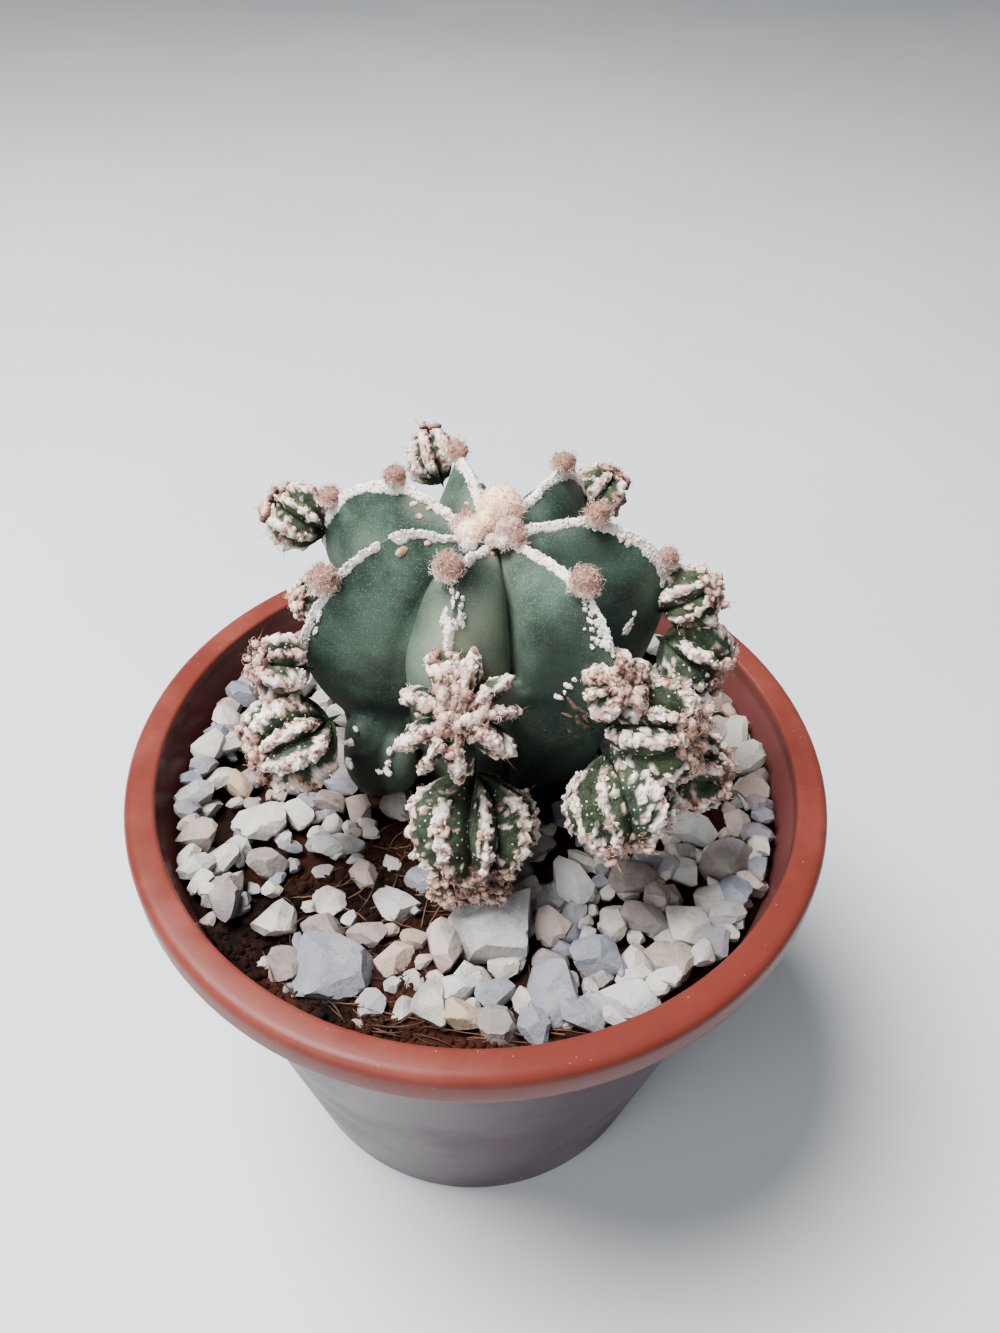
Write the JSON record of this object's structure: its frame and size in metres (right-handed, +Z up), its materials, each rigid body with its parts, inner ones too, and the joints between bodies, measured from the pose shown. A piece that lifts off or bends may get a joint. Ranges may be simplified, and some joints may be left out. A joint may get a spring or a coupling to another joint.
{
  "type": "potted hakujo fukuryu bishops cap cactus",
  "caption": "Ribbed bishop's cap cactus with felted crests, woolly areoles and clustered offsets, in a round plastic pot of soil and limestone grit.",
  "frame": {"origin": "centre of the pot's foot, on the surface that it stands on", "axes": "+Z up along the pot's axis; -Y is the side that the picture looks at, with the bare soil at the front left"},
  "size_m": [0.09, 0.09, 0.1044],
  "materials": {
    "pot": "satin",
    "soil": "matte",
    "limestone": "matte",
    "stem": "matte",
    "felt": "matte",
    "offset": "matte"
  },
  "bodies": {
    "root": {"crest_felt_and_wool": "felt", "limestone_grit": "limestone", "loose_stone_01": "limestone", "loose_stone_02": "limestone", "loose_stone_03": "limestone", "loose_stone_04": "limestone", "loose_stone_05": "limestone", "loose_stone_06": "limestone", "loose_stone_07": "limestone", "loose_stone_08": "limestone", "loose_stone_09": "limestone", "loose_stone_10": "limestone", "loose_stone_11": "limestone", "loose_stone_12": "limestone", "loose_stone_13": "limestone", "offset_back_left_lower": "offset", "offset_back_left_upper": "offset", "offset_back_lower": "offset", "offset_back_right_lower": "offset", "offset_back_right_upper": "offset", "offset_back_upper": "offset", "offset_front_lower": "offset", "offset_front_upper": "offset", "offset_left_lower": "offset", "offset_left_upper": "offset", "offset_right_front_lower": "offset", "offset_right_front_outer": "offset", "offset_right_front_small": "offset", "offset_right_front_upper": "offset", "offset_right_lower": "offset", "offset_right_upper": "offset", "pot": "pot", "soil": "soil", "stem": "stem"}
  },
  "joints": []
}
